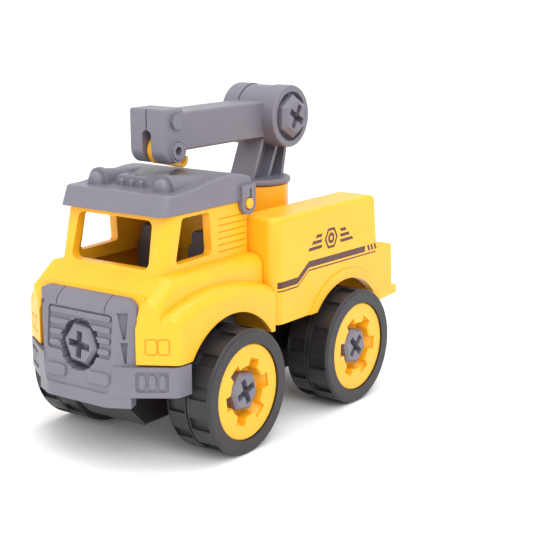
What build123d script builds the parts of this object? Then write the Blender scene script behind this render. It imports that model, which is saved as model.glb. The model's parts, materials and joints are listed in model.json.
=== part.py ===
"""Toy tow truck: take-apart plastic truck with a slewing, luffing crane boom and a tow hook.

Frame: +X forward, +Y to the truck's left, +Z up, millimetres.
Origin: on the ground, under the middle of the truck.
"""

import os
from math import cos, hypot, radians, sin, sqrt, tan

from build123d import *

os.makedirs("parts", exist_ok=True)

# ---- Driving dimensions ---------------------------------------------------------------
HALF_LENGTH = 77.8            # bumper front and tail lip, either side of the origin
BODY_HALF_W = 36.0            # outer faces of the fenders and the service boxes
WALL = 2.0                    # moulded wall thickness

TYRE_R = 23.0
WHEELBASE = 72.6
FRONT_AXLE_X = 34.3
REAR_AXLE_X = FRONT_AXLE_X - WHEELBASE
AXLE_Z = TYRE_R
TYRE_INNER_Y = 23.1
TYRE_OUTER_Y = 42.65
RIM_R = 17.7

SHANK_R = 3.0                 # smooth shank of every large plastic screw
RUN_CLEAR = 0.06              # radial clearance of a turning fit
SIDE_GAP = 0.3                # gap between faces that move past each other
HEX_R = 7.7                   # large screw head, centre to corner
HEX_T = 4.5
HEX_BEVEL = 1.1

CAB_REAR_X = 9.1
SERVICE_FRONT_X = 8.7
CAB_HALF_W = 24.4             # upper cab, outside
HULL_HALF_W = 30.2            # lower cab between the wheel flares
CAB_WALL_X = 69.0             # front wall of the cab, behind the grille
SHOULDER_Z = 67.8             # top of the lower cab, under the side windows
EAVE_Z = 87.4                 # underside of the roof
ROOF_TOP_Z = 94.9
GRILLE_HALF_W = 22.6
GRILLE_TOP_Z = 61.4
GRILLE_CORNER_R = 4.5

BED_Z = 60.0                  # floor between the service boxes
BOX_TOP_Z = 81.0
BOX_INNER_Y = 19.0
SKIRT_Z = 40.5

SLEW_X = -26.7                # vertical axis of the turret
PEDESTAL_R = 13.3
PEDESTAL_TOP_Z = 87.0
PIVOT_X = -33.7               # boom pivot at the top of the mast
PIVOT_Z = 113.5
BOOM_HALF_W = 7.0
BOOM_BOTTOM_Z = 105.8
BOOM_TOP_Z = 119.9
HEAD_REAR_X = 26.5
HEAD_FRONT_X = 37.8
HEAD_HALF_W = 8.3
HOOK_PIN_X = 30.6
HOOK_PIN_Z = 106.4


def outline(points, mode=Mode.ADD):
    """A closed face through points, in the active sketch's own coordinates."""
    return Polygon(*points, align=None, mode=mode)


def finish(name, builder):
    """Label a finished piece and write its STEP file."""
    builder.part.label = name
    export_step(builder.part, f"parts/{name}.step")


# ---- Large plastic screw: hexagonal head with a cross recess, shank along -Y -----------
CROSS_LENGTH = 9.8
CROSS_WIDTH = 2.6
CROSS_DEPTH = 3.6


def hex_screw(shank_length, shank_r=SHANK_R, head_r=HEX_R, head_t=HEX_T, bevel=HEX_BEVEL, turn=0.0):
    """Head from y = 0 to head_t, shank down to -shank_length, turned from +X towards +Z."""
    with BuildPart() as screw:
        with BuildSketch(Plane.XZ):
            RegularPolygon(head_r, 6, rotation=turn)
        extrude(amount=-head_t)
        chamfer(screw.faces().sort_by(Axis.Y)[-1].edges(), bevel)
        with BuildSketch(Plane.XZ):
            Circle(shank_r)
        extrude(amount=shank_length)
        with BuildSketch(Plane.XZ.offset(-head_t)):
            Rectangle(CROSS_LENGTH, CROSS_WIDTH, rotation=turn)
            Rectangle(CROSS_WIDTH, CROSS_LENGTH, rotation=turn)
        extrude(amount=CROSS_DEPTH, mode=Mode.SUBTRACT)
        chamfer(screw.faces().sort_by(Axis.Y)[0].edges(), 0.6)
    return screw.part


# ---- Wheels: soft tyre pressed on a dished rim, turning on a plastic screw -------------
TREAD_COUNT = 12
TREAD_DEPTH = 1.3
POCKET_L = 4.9                # along the tread
OUTER_POCKETS_Y = (33.4, 41.4)
INNER_POCKETS_Y = (24.3, 31.6)
TREAD_GROOVE_W = 0.7
SHOULDER_FILLET = 1.3
RIM_BACK_Y = 25.0
RIM_FACE_Y = 42.0
RIM_INSIDE_R = 16.0
HUB_RECESS_R = 9.4
HUB_FLOOR_Y = 36.5
HUB_R = 6.6
NOTCH_R = 12.2                # six notches open the hub recess
NOTCH_W = 5.2
BOSS_FACE_Y = 22.6


def tyre_blank():
    """Tyre for a left wheel, its axle along Y through the origin."""
    with BuildPart() as blank:
        with BuildSketch(Plane.XZ.offset(-TYRE_INNER_Y)):
            Circle(TYRE_R)
            Circle(RIM_R, mode=Mode.SUBTRACT)
        extrude(amount=-(TYRE_OUTER_Y - TYRE_INNER_Y))
        rounded = blank.edges().filter_by(GeomType.CIRCLE).filter_by(lambda e: e.radius > TYRE_R - 0.1)
        fillet(rounded, SHOULDER_FILLET)
        # two staggered rings of rectangular pockets
        pitch = 360 / TREAD_COUNT
        for stagger, (low_y, high_y) in enumerate((OUTER_POCKETS_Y, INNER_POCKETS_Y)):
            with BuildSketch(Plane.YZ.offset(TYRE_R - TREAD_DEPTH)):
                with Locations(((low_y + high_y) / 2, 0)):
                    RectangleRounded(high_y - low_y, POCKET_L, 0.5)
            pocket = extrude(amount=3 * TREAD_DEPTH, mode=Mode.PRIVATE)
            for place in range(TREAD_COUNT):
                add(pocket.rotate(Axis.Y, (place + stagger / 2) * pitch), mode=Mode.SUBTRACT)
        # a thin groove runs round the tread between the rings
        with BuildSketch(Plane.XY):
            with Locations((TYRE_R, (INNER_POCKETS_Y[1] + OUTER_POCKETS_Y[0]) / 2)):
                Rectangle(TREAD_DEPTH, TREAD_GROOVE_W)
        revolve(axis=Axis.Y, mode=Mode.SUBTRACT)
    return blank.part


def rim_blank():
    """Rim for a left wheel, its axle along Y through the origin."""
    bore = SHANK_R + RUN_CLEAR
    edge = 0.5
    with BuildPart() as blank:
        with BuildSketch(Plane.XY):
            outline([
                (bore, TYRE_INNER_Y), (HUB_R, TYRE_INNER_Y), (HUB_R, HUB_FLOOR_Y - WALL),
                (HUB_RECESS_R, HUB_FLOOR_Y - WALL), (NOTCH_R + WALL / 2, RIM_FACE_Y - WALL),
                (RIM_INSIDE_R, RIM_FACE_Y - WALL), (RIM_INSIDE_R, RIM_BACK_Y), (RIM_R, RIM_BACK_Y),
                (RIM_R, RIM_FACE_Y - edge), (RIM_R - edge, RIM_FACE_Y), (HUB_RECESS_R + edge, RIM_FACE_Y),
                (HUB_RECESS_R, RIM_FACE_Y - edge), (HUB_RECESS_R, HUB_FLOOR_Y), (bore, HUB_FLOOR_Y),
            ])
        revolve(axis=Axis.Y)
        # notches with sloping floors
        with BuildSketch(Plane.XY):
            outline([
                (HUB_RECESS_R - 1, HUB_FLOOR_Y), (HUB_RECESS_R, HUB_FLOOR_Y), (NOTCH_R, RIM_FACE_Y - 1),
                (NOTCH_R, RIM_FACE_Y + 1), (HUB_RECESS_R - 1, RIM_FACE_Y + 1),
            ])
        notch = extrude(amount=NOTCH_W / 2, both=True, mode=Mode.PRIVATE)
        for place in range(6):
            add(notch.rotate(Axis.Y, place * 60), mode=Mode.SUBTRACT)
    return blank.part


left_tyre = tyre_blank()
left_rim = rim_blank()
WHEEL_SCREW_SEAT_Y = HUB_FLOOR_Y + SIDE_GAP
WHEEL_SCREW_LENGTH = 23.0

# name, axle, side, then how far the tyre, the rim and the screw stand turned from +X towards +Z
WHEELS = [
    ("front_left", FRONT_AXLE_X, 1, 11.5, -9.0, 70.0),
    ("front_right", FRONT_AXLE_X, -1, 4.0, 18.0, 40.0),
    ("rear_left", REAR_AXLE_X, 1, 23.8, 4.0, 135.0),
    ("rear_right", REAR_AXLE_X, -1, 17.0, 30.0, 5.0),
]


def wheel_piece(left_piece, side, turn):
    """A left wheel's piece, turned from +X towards +Z, and mirrored for the right side."""
    turned = left_piece.rotate(Axis.Y, -turn)
    return turned if side > 0 else mirror(turned, about=Plane.XZ, mode=Mode.PRIVATE)


for corner, axle_x, side, tyre_turn, rim_turn, screw_turn in WHEELS:
    with BuildPart() as tyre:
        with Locations((axle_x, 0, AXLE_Z)):
            add(wheel_piece(left_tyre, side, tyre_turn))
    finish(f"{corner}_tyre", tyre)

    with BuildPart() as rim:
        with Locations((axle_x, 0, AXLE_Z)):
            add(wheel_piece(left_rim, side, rim_turn))
    finish(f"{corner}_rim", rim)

    with BuildPart() as wheel_screw:
        with Locations((axle_x, side * WHEEL_SCREW_SEAT_Y, AXLE_Z)):
            add(wheel_piece(hex_screw(WHEEL_SCREW_LENGTH, turn=screw_turn), side, 0))
    finish(f"{corner}_wheel_screw", wheel_screw)

# ---- Chassis: open-topped tub with four axle bosses --------------------------------------
TUB_BOTTOM_Z = 11.0
TUB_TOP_Z = 38.0
TUB_HALF_W = 14.0
TUB_REAR_X = -64.0
TUB_FRONT_X = 66.0
DECK_T = 2.0
DECK_HALF_W = 20.5
BOSS_R = 7.0
BED_SCREW_X = -52.0
BED_SCREW_SEAT_Z = 16.5
BED_SCREW_L = 38.0

with BuildPart() as chassis:
    with BuildSketch(Plane.XZ):
        outline([
            (TUB_REAR_X, TUB_BOTTOM_Z + 12), (TUB_REAR_X + 9, TUB_BOTTOM_Z),
            (TUB_FRONT_X - 9, TUB_BOTTOM_Z), (TUB_FRONT_X, TUB_BOTTOM_Z + 9),
            (TUB_FRONT_X, TUB_TOP_Z), (TUB_REAR_X, TUB_TOP_Z),
        ])
    extrude(amount=TUB_HALF_W, both=True)
    fillet(chassis.faces().sort_by(Axis.Z)[0].edges().filter_by(Axis.X), 2.0)
    with BuildSketch(Plane.XY.offset(TUB_TOP_Z - DECK_T)):
        with Locations(((TUB_REAR_X + TUB_FRONT_X) / 2, 0)):
            RectangleRounded(TUB_FRONT_X - TUB_REAR_X, 2 * DECK_HALF_W, 3)
    extrude(amount=DECK_T)
    with BuildSketch(Plane.XZ):
        with Locations((FRONT_AXLE_X, AXLE_Z), (REAR_AXLE_X, AXLE_Z)):
            Circle(BOSS_R)
    extrude(amount=BOSS_FACE_Y, both=True)
    with BuildSketch(Plane.XZ):
        outline([
            (TUB_REAR_X + WALL, TUB_BOTTOM_Z + 12 + WALL), (TUB_REAR_X + 9 + WALL, TUB_BOTTOM_Z + WALL),
            (TUB_FRONT_X - 9 - WALL, TUB_BOTTOM_Z + WALL), (TUB_FRONT_X - WALL, TUB_BOTTOM_Z + 9 + WALL),
            (TUB_FRONT_X - WALL, TUB_TOP_Z), (TUB_REAR_X + WALL, TUB_TOP_Z),
        ])
    extrude(amount=TUB_HALF_W - WALL, both=True, mode=Mode.SUBTRACT)
    # cross walls stiffen the tub beside the axles
    with BuildSketch(Plane.XY.offset(TUB_BOTTOM_Z + 1)):
        with Locations((FRONT_AXLE_X - 11, 0), (FRONT_AXLE_X + 11, 0), (REAR_AXLE_X + 11, 0), (0, 0)):
            Rectangle(1.6, 2 * TUB_HALF_W - 1)
    extrude(amount=TUB_TOP_Z - TUB_BOTTOM_Z - 3)
    # the bed screw stands in a recessed column
    with BuildSketch(Plane.XY.offset(TUB_BOTTOM_Z + 0.5)):
        with Locations((BED_SCREW_X, 0)):
            Circle(10.4)
    extrude(amount=BED_SCREW_SEAT_Z + WALL - TUB_BOTTOM_Z - 0.5)
    with BuildSketch(Plane.XY.offset(TUB_BOTTOM_Z)):
        with Locations((BED_SCREW_X, 0)):
            Circle(8.4)
    extrude(amount=BED_SCREW_SEAT_Z - TUB_BOTTOM_Z, mode=Mode.SUBTRACT)
    with BuildSketch(Plane.XY.offset(TUB_BOTTOM_Z)):
        with Locations((BED_SCREW_X, 0)):
            Circle(SHANK_R + RUN_CLEAR)
    extrude(amount=TUB_TOP_Z, mode=Mode.SUBTRACT)
    # threaded ends of the wheel screws
    with BuildSketch(Plane.XZ):
        with Locations((FRONT_AXLE_X, AXLE_Z), (REAR_AXLE_X, AXLE_Z)):
            Circle(SHANK_R + RUN_CLEAR)
    extrude(amount=2 * BOSS_FACE_Y, both=True, mode=Mode.SUBTRACT)
finish("chassis", chassis)

# ---- Cab body ------------------------------------------------------------------------------
FENDER_Z = 38.9               # lower edge of the front fenders
NOSE_FOOT_X = 72.6
NOSE_TOP_X = 70.8
BONNET_X = 68.6
BONNET_Z = 61.0
SHOULDER_R = 5.0
WINDSCREEN_FOOT_X = 59.6
WINDSCREEN_TOP_X = 55.0
FENDER_NOSE = (71.8, 23.0)    # plan view: where the fender meets the grille
FENDER_CORNER = (64.0, 35.9)  # plan view: where the fender turns to the side
FLARE_ARC_R = 81.0
FLARE_ARC_X = 36.8
FLARE_TOP_Z = 61.2
FLARE_CROWN_R = 5.2
FENDER_CORNER_R = 3.5
FRONT_ARCH_R = 28.0
LIP_INSET = 2.2               # the rim that the roof sits over
LIP_TOP_Z = 91.0
GROOVE = 0.4
LAMP_Z = 45.3
LAMP_CENTRES = (5.2, 9.6)
PEG_X = 12.2
PEG_Z = 86.6
PEG_R = 2.0
PEG_L = 3.6
GRILLE_HOLE_Z = 43.2
SCREW_BOSS_L = 1.8


def greenhouse(inset, top):
    """Upper cab block, inset from the outer face all round."""
    rise = top - SHOULDER_Z
    lean = (WINDSCREEN_FOOT_X - WINDSCREEN_TOP_X) / (EAVE_Z - SHOULDER_Z)
    with BuildPart() as block:
        with BuildSketch(Plane.XZ):
            outline([
                (CAB_REAR_X + inset, FENDER_Z + 16), (WINDSCREEN_FOOT_X - inset, FENDER_Z + 16),
                (WINDSCREEN_FOOT_X - inset, SHOULDER_Z),
                (WINDSCREEN_FOOT_X - inset - lean * rise, top), (CAB_REAR_X + inset, top),
            ])
        extrude(amount=CAB_HALF_W - inset, both=True)
        pillars = block.edges().filter_by(lambda e: abs(e.tangent_at(0.5).Z) > 0.9)
        fillet(pillars.filter_by(lambda e: e.center().X > CAB_REAR_X + 20), max(4.2 - inset, 0.8))
        rear = block.edges().filter_by(lambda e: abs(e.tangent_at(0.5).Z) > 0.9)
        fillet(rear.filter_by(lambda e: e.center().X < CAB_REAR_X + 20), max(2.4 - inset, 0.6))
    return block.part


def nose_cut(inset):
    """Prisms outside the slanted fender fronts."""
    along = hypot(FENDER_NOSE[0] - FENDER_CORNER[0], FENDER_CORNER[1] - FENDER_NOSE[1])
    shift_x = inset * (FENDER_CORNER[1] - FENDER_NOSE[1]) / along
    shift_y = inset * (FENDER_NOSE[0] - FENDER_CORNER[0]) / along
    nose = (FENDER_NOSE[0] - shift_x, FENDER_NOSE[1] - shift_y)
    corner = (FENDER_CORNER[0] - shift_x, FENDER_CORNER[1] - shift_y)
    reach = 2.0
    slope = (corner[0] - nose[0]) / (corner[1] - nose[1])
    start = (nose[0] - slope * reach, nose[1] - reach)
    end = (corner[0] + slope * reach, corner[1] + reach)
    with BuildPart() as cut:
        with BuildSketch(Plane.XY):
            outline([start, end, (end[0] + 30, end[1]), (end[0] + 30, start[1])])
        extrude(amount=100)
        mirror(about=Plane.XZ)
    return cut.part


def lower_hull(inset, bottom):
    """Lower cab block with the bonnet slope."""
    with BuildPart() as block:
        with BuildSketch(Plane.XZ):
            outline([
                (CAB_REAR_X + inset, bottom), (NOSE_FOOT_X - inset, bottom),
                (NOSE_TOP_X - inset, BONNET_Z - 6), (BONNET_X - inset, BONNET_Z - inset),
                (WINDSCREEN_FOOT_X, SHOULDER_Z - inset), (CAB_REAR_X + inset, SHOULDER_Z - inset),
            ])
        extrude(amount=HULL_HALF_W - inset, both=True)
        sides = block.edges().filter_by(lambda e: abs(e.center().Y) > HULL_HALF_W - inset - 0.1)
        shoulders = sides.filter_by(lambda e: e.center().Z > FLARE_TOP_Z)
        fillet(shoulders.filter_by(lambda e: abs(e.tangent_at(0.5).X) > 0.5), SHOULDER_R - inset)
        add(nose_cut(inset), mode=Mode.SUBTRACT)
    return block.part


def flare(inset, bottom):
    """Wheel flare block: arched top, slanted front corners."""
    radius = FLARE_ARC_R - inset
    centre_z = FLARE_TOP_Z - FLARE_ARC_R
    rear_x = CAB_REAR_X + inset
    front_x = FENDER_NOSE[0] + 4
    rear_z = centre_z + sqrt(radius**2 - (rear_x - FLARE_ARC_X) ** 2)
    front_z = centre_z + sqrt(radius**2 - (front_x - FLARE_ARC_X) ** 2)
    with BuildPart() as block:
        with BuildSketch(Plane.XZ):
            with BuildLine():
                Polyline((rear_x, rear_z), (rear_x, bottom), (front_x, bottom), (front_x, front_z))
                ThreePointArc((front_x, front_z), (FLARE_ARC_X, centre_z + radius), (rear_x, rear_z))
            make_face()
        extrude(amount=BODY_HALF_W - inset, both=True)
        crown = block.faces().filter_by(GeomType.CYLINDER).sort_by(Axis.Z)[-1]
        fillet(crown.edges().filter_by(GeomType.CIRCLE), FLARE_CROWN_R - inset)
        add(nose_cut(inset), mode=Mode.SUBTRACT)
        fronts = block.faces().filter_by(lambda f: min(abs(f.normal_at().X), abs(f.normal_at().Y)) > 0.3)
        rims = ShapeList([edge for front in fronts for edge in front.edges()])
        rims = rims.filter_by(lambda e: e.center().Z > bottom + 0.1)
        rims = rims.filter_by(lambda e: abs(e.center().Y) > FENDER_NOSE[1] + 1)
        fillet(rims, FENDER_CORNER_R - inset)
    return block.part


cab_outer = [greenhouse(0, EAVE_Z), lower_hull(0, FENDER_Z), flare(0, FENDER_Z)]
cab_lip = greenhouse(LIP_INSET, LIP_TOP_Z)
cab_inner = [
    greenhouse(LIP_INSET + 1.3, LIP_TOP_Z + 10),
    lower_hull(WALL, FENDER_Z - 20),
    flare(WALL, FENDER_Z - 20),
]
slant = Vector(FENDER_CORNER[0] - FENDER_NOSE[0], FENDER_CORNER[1] - FENDER_NOSE[1], 0).normalized()
LAMP_PLANE = Plane(origin=(*FENDER_NOSE, LAMP_Z), x_dir=slant, z_dir=(slant.Y, -slant.X, 0))

with BuildPart() as cab_body:
    for block in cab_outer:
        add(block)
    add(cab_lip)
    # flat front wall behind the grille
    with BuildSketch(Plane.YZ.offset(CAB_WALL_X)):
        RectangleRounded(2 * (GRILLE_HALF_W + SIDE_GAP), 2 * (GRILLE_TOP_Z + SIDE_GAP), GRILLE_CORNER_R)
    extrude(amount=20, mode=Mode.SUBTRACT)
    # hollow underneath; the front wall stays
    for block in cab_inner:
        add(block, mode=Mode.SUBTRACT)
    with BuildSketch(Plane.XY.offset(FENDER_Z + 3)):
        with Locations((CAB_WALL_X - WALL / 2, 0)):
            Rectangle(WALL, 2 * GRILLE_HALF_W + 4)
    extrude(amount=FLARE_TOP_Z - FENDER_Z - 2)
    # wheel arches
    with BuildSketch(Plane.XZ):
        with Locations((FRONT_AXLE_X, AXLE_Z)):
            Circle(FRONT_ARCH_R)
    extrude(amount=BODY_HALF_W + 5, both=True, mode=Mode.SUBTRACT)
    # windscreen
    with BuildSketch(Plane.YZ.offset(WINDSCREEN_TOP_X - 8)) as windscreen:
        outline([(-18.4, 68.9), (18.4, 68.9), (17.4, 85.6), (-17.4, 85.6)])
        fillet(windscreen.vertices(), 2.6)
    extrude(amount=20, mode=Mode.SUBTRACT)
    # side windows
    with BuildSketch(Plane.XZ) as side_window:
        outline([(31.6, 70.6), (51.9, 70.1), (47.9, 86.1), (32.8, 86.1)])
        fillet(side_window.vertices(), 1.6)
    extrude(amount=CAB_HALF_W + 5, both=True, mode=Mode.SUBTRACT)
    # shallow grooves on the rear quarter panels
    for side in (1, -1):
        with BuildSketch(Plane.XY.offset(70.5)):
            with Locations((19.5, side * CAB_HALF_W)):
                Rectangle(17, 2 * GROOVE)
        groove = extrude(amount=GROOVE, mode=Mode.PRIVATE)
        for level in range(6):
            add(groove.moved(Location((0, 0, 2.4 * level))), mode=Mode.SUBTRACT)
    # pressed outline of a double headlamp on each fender
    with BuildSketch(LAMP_PLANE):
        for centre in LAMP_CENTRES:
            with Locations((centre, 0)):
                RectangleRounded(4.3, 5.8, 0.8)
                RectangleRounded(3.5, 5.0, 0.5, mode=Mode.SUBTRACT)
    lamp = extrude(amount=-GROOVE, mode=Mode.PRIVATE)
    add(lamp, mode=Mode.SUBTRACT)
    add(mirror(lamp, about=Plane.XZ, mode=Mode.PRIVATE), mode=Mode.SUBTRACT)
    # screw boss behind the front wall
    with BuildSketch(Plane.YZ.offset(CAB_WALL_X - WALL / 2)):
        with Locations((0, GRILLE_HOLE_Z)):
            Circle(SHANK_R + WALL)
    extrude(amount=-SCREW_BOSS_L)
    # roof pegs and the screw hole of the grille
    with BuildSketch(Plane.XZ.offset(-(CAB_HALF_W - 1))):
        with Locations((PEG_X, PEG_Z)):
            Circle(PEG_R)
    peg = extrude(amount=-PEG_L)
    mirror(peg, about=Plane.XZ)
    with BuildSketch(Plane.YZ.offset(CAB_WALL_X - 10)):
        with Locations((0, GRILLE_HOLE_Z)):
            Circle(SHANK_R + RUN_CLEAR)
    extrude(amount=20, mode=Mode.SUBTRACT)
finish("cab_body", cab_body)

# ---- Cab interior: floor platform with two seats --------------------------------------------
PLATFORM_TOP_Z = 52.5
SEAT_FOOT_Z = 57.0
SEAT_TOP_Z = 71.0
HEADREST_TOP_Z = 76.5
HEADREST_W = 7.6
SEAT_BACK_X = 20.0
SEAT_Y = 12.4
SEAT_W = 11.4
SEAT_L = 19.0
BACK_T = 4.5
PLATFORM_X = 36.0
PLATFORM_L = 48.0

with BuildPart() as cab_interior:
    with BuildSketch(Plane.XY.offset(TUB_TOP_Z)):
        with Locations((PLATFORM_X, 0)):
            RectangleRounded(PLATFORM_L, 2 * DECK_HALF_W, 2)
    extrude(amount=PLATFORM_TOP_Z - TUB_TOP_Z)
    fillet(cab_interior.faces().sort_by(Axis.Z)[-1].edges(), 0.8)
    for side in (1, -1):
        # cushion
        with BuildSketch(Plane.XY.offset(PLATFORM_TOP_Z - 1)):
            with Locations((SEAT_BACK_X + SEAT_L / 2, side * SEAT_Y)):
                RectangleRounded(SEAT_L, SEAT_W, 2)
        extrude(amount=SEAT_FOOT_Z - PLATFORM_TOP_Z + 1)
        # back with shoulders and a narrower headrest
        with BuildSketch(Plane.YZ.offset(SEAT_BACK_X)):
            with Locations((side * SEAT_Y, (PLATFORM_TOP_Z + SEAT_TOP_Z) / 2 - 1)):
                RectangleRounded(SEAT_W, SEAT_TOP_Z - PLATFORM_TOP_Z + 2, 2)
            with Locations((side * SEAT_Y, (SEAT_FOOT_Z + HEADREST_TOP_Z) / 2)):
                RectangleRounded(HEADREST_W, HEADREST_TOP_Z - SEAT_FOOT_Z, 2.4)
        extrude(amount=BACK_T)
    backs = cab_interior.edges().filter_by(lambda e: e.center().Z > SEAT_FOOT_Z + 0.5)
    fillet(backs.filter_by(lambda e: abs(e.tangent_at(0.5).X) < 0.1), 0.9)
    # open underneath
    with BuildSketch(Plane.XY.offset(TUB_TOP_Z)):
        with Locations((PLATFORM_X, 0)):
            RectangleRounded(PLATFORM_L - 2 * WALL, 2 * (DECK_HALF_W - WALL), 1)
    extrude(amount=PLATFORM_TOP_Z - TUB_TOP_Z - WALL, mode=Mode.SUBTRACT)
finish("cab_interior", cab_interior)

# ---- Roof: moulded cap clipped on the cab pegs ------------------------------------------------
ROOF_HALF_W = 25.3
ROOF_REAR_X = 9.4
ROOF_REAR_Z = 96.2
ROOF_CREST = (25.0, 97.9)
ROOF_BROW = (40.0, 95.6)
VISOR_X = 58.7
VISOR_TOP_X = 55.6
ROOF_CORNER_R = 4.5
ROOF_EDGE_R = 1.3
ROOF_WALL = 1.3
CAVITY_FRONT_X = 54.0
CLIP_R = 4.1
CLIP_HOLE_R = PEG_R + 0.4
CLIP_T = 1.9
CLIP_SLOT_W = 1.0
CLIP_INNER_Y = CAB_HALF_W + SIDE_GAP
FAIRING_Y = 15.6
FAIRING_R = 4.5
FAIRING_H = 5.5
FAIRING_Z = 94.6
FAIRING_FALL = 5.0            # slope of the fairing's crest, degrees
FAIRING_LENGTH = 32.0
FAIRING_FRONT_X = 47.0
COLLAR_L = 1.8
COLLAR_RISE = 0.4
BEACON_R = 3.5
BEACON_H = 4.6
BEACON_LENGTH = 3.2
BAR_REAR_X = 41.5
BAR_FRONT_X = 46.0
BAR_TOP_Z = 98.8
BAR_FOOT_Y = 9.2
BAR_HEAD_Y = 6.3
LAMP_PITCH = 4.6
LAMP_R = 1.1
LAMP_TOP_Z = 97.4
MARKER_PITCH = 3.0
MARKER_R = 0.7

with BuildPart() as beacon:
    fall = radians(FAIRING_FALL)
    with BuildSketch(Plane(origin=(0, 0, 0), x_dir=(0, 1, 0), z_dir=(-cos(fall), 0, -sin(fall)))):
        Ellipse(FAIRING_R, FAIRING_H)
    extrude(amount=FAIRING_LENGTH)
    with BuildSketch(Plane.YZ.offset(-COLLAR_L)):
        Ellipse(FAIRING_R + COLLAR_RISE, FAIRING_H + COLLAR_RISE)
    extrude(amount=COLLAR_L)
    with BuildSketch(Plane.YZ.offset(-COLLAR_L)):
        Ellipse(BEACON_R, BEACON_H)
    extrude(amount=COLLAR_L + BEACON_LENGTH)
    fillet(beacon.faces().sort_by(Axis.X)[-1].edges(), 2.2)

with BuildPart() as light_bar:
    with BuildSketch(Plane.YZ.offset(BAR_REAR_X)):
        outline([
            (-BAR_FOOT_Y, ROOF_TOP_Z - 1), (BAR_FOOT_Y, ROOF_TOP_Z - 1), (BAR_HEAD_Y, BAR_TOP_Z),
            (-BAR_HEAD_Y, BAR_TOP_Z),
        ])
    extrude(amount=BAR_FRONT_X - BAR_REAR_X)
    fillet(light_bar.faces().sort_by(Axis.Z)[-1].edges(), 0.7)
    # three upright lamps on the front, three small markers on top
    with BuildSketch(Plane.XY.offset(ROOF_TOP_Z - 1)):
        with Locations(*[(BAR_FRONT_X + 0.2, LAMP_PITCH * place) for place in (-1, 0, 1)]):
            Circle(LAMP_R)
    lamps = extrude(amount=LAMP_TOP_Z - ROOF_TOP_Z + 1, mode=Mode.PRIVATE)
    for lamp in lamps.solids():
        add(lamp.fillet(0.8, lamp.faces().sort_by(Axis.Z)[-1].edges()))
    with BuildSketch(Plane.XY.offset(BAR_TOP_Z - 0.5)):
        with Locations(*[((BAR_REAR_X + BAR_FRONT_X) / 2, MARKER_PITCH * place) for place in (-1, 0, 1)]):
            Circle(MARKER_R)
    extrude(amount=1.0)

with BuildPart() as roof:
    with BuildSketch(Plane.XZ):
        with BuildLine():
            Polyline(
                (ROOF_REAR_X, ROOF_REAR_Z), (ROOF_REAR_X, EAVE_Z + SIDE_GAP), (VISOR_X, EAVE_Z + SIDE_GAP),
                (VISOR_TOP_X, ROOF_TOP_Z),
            )
            Spline((VISOR_TOP_X, ROOF_TOP_Z), ROOF_BROW, ROOF_CREST, (ROOF_REAR_X, ROOF_REAR_Z))
        make_face()
    extrude(amount=ROOF_HALF_W, both=True)
    uprights = roof.edges().filter_by(lambda e: abs(e.tangent_at(0.5).Z) > 0.9)
    fillet(uprights.filter_by(lambda e: e.center().X > ROOF_BROW[0]), ROOF_CORNER_R)
    fillet(roof.faces().sort_by(Axis.Z)[-1].edges(), ROOF_EDGE_R)
    # beacon lamps in collars, each with a long fairing sinking back into the roof
    for side in (1, -1):
        with Locations((FAIRING_FRONT_X, side * FAIRING_Y, FAIRING_Z)):
            add(beacon.part)
    add(light_bar.part)
    # hollow underneath
    with BuildSketch(Plane.XY.offset(EAVE_Z - 5)):
        with Locations(((ROOF_REAR_X + ROOF_WALL + CAVITY_FRONT_X) / 2, 0)):
            RectangleRounded(CAVITY_FRONT_X - ROOF_REAR_X - ROOF_WALL, 2 * (ROOF_HALF_W - ROOF_WALL), 2)
    extrude(amount=ROOF_TOP_Z - ROOF_WALL - EAVE_Z + 5, mode=Mode.SUBTRACT)
    # clips reach down over the cab pegs, each with a slot that lets it spring
    with BuildSketch(Plane.XZ.offset(-CLIP_INNER_Y)):
        with Locations((PEG_X, PEG_Z)):
            Circle(CLIP_R)
        with Locations((PEG_X, (PEG_Z + ROOF_TOP_Z - 1.4) / 2)):
            Rectangle(2 * CLIP_R, ROOF_TOP_Z - 1.4 - PEG_Z)
    clip = extrude(amount=-CLIP_T)
    mirror(clip, about=Plane.XZ)
    with BuildSketch(Plane.XZ):
        with Locations((PEG_X, PEG_Z)):
            Circle(CLIP_HOLE_R)
        with Locations((PEG_X - CLIP_SLOT_W, (PEG_Z + ROOF_TOP_Z - 3) / 2)):
            Rectangle(CLIP_SLOT_W, ROOF_TOP_Z - 3 - PEG_Z)
    extrude(amount=ROOF_HALF_W + 5, both=True, mode=Mode.SUBTRACT)
finish("roof", roof)

# ---- Front grille with bumper wings -----------------------------------------------------------
GRILLE_TOP_R = 6.6            # rounded top, in the side view
GRILLE_ROUND_H = 4.5
FACE_TILT = 5.5
FACE_X = 75.9                 # tilted face at the height FACE_Z
FACE_Z = 41.8
GRILLE_SCREW_SEAT_X = 71.2
GRILLE_SCREW_L = 9.6
BUMPER_TOP_Z = 38.2
BUMPER_LOW_Z = 23.5
WING_LOW_Z = 27.4
WING_ROOT = (73.6, 22.2)
NOSE_FLAT_Y = 14.0            # half width of the flat middle of the bumper
WING_CORNER = (64.6, 35.2)
WING_TIP = (58.0, 36.0)
RELIEF = 0.9                  # depth of recessed panels, height of raised pads
VENT_DEPTH = 1.6
SCREW_WELL_R = 9.0
SEAM_Y = 11.4
SEAM_W = 0.5
FACE_PLANE = Plane(
    origin=(FACE_X, 0, FACE_Z), x_dir=(0, 1, 0),
    z_dir=(cos(radians(FACE_TILT)), 0, sin(radians(FACE_TILT))),
)
wing_dir = Vector(WING_CORNER[0] - WING_ROOT[0], WING_CORNER[1] - WING_ROOT[1], 0).normalized()
WING_PLANE = Plane(origin=(*WING_ROOT, 33.0), x_dir=wing_dir, z_dir=(wing_dir.Y, -wing_dir.X, 0))
POST_EDGE = (FACE_X + 0.4, 15.9)
POST_CORNER = (70.7, GRILLE_HALF_W)
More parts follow.
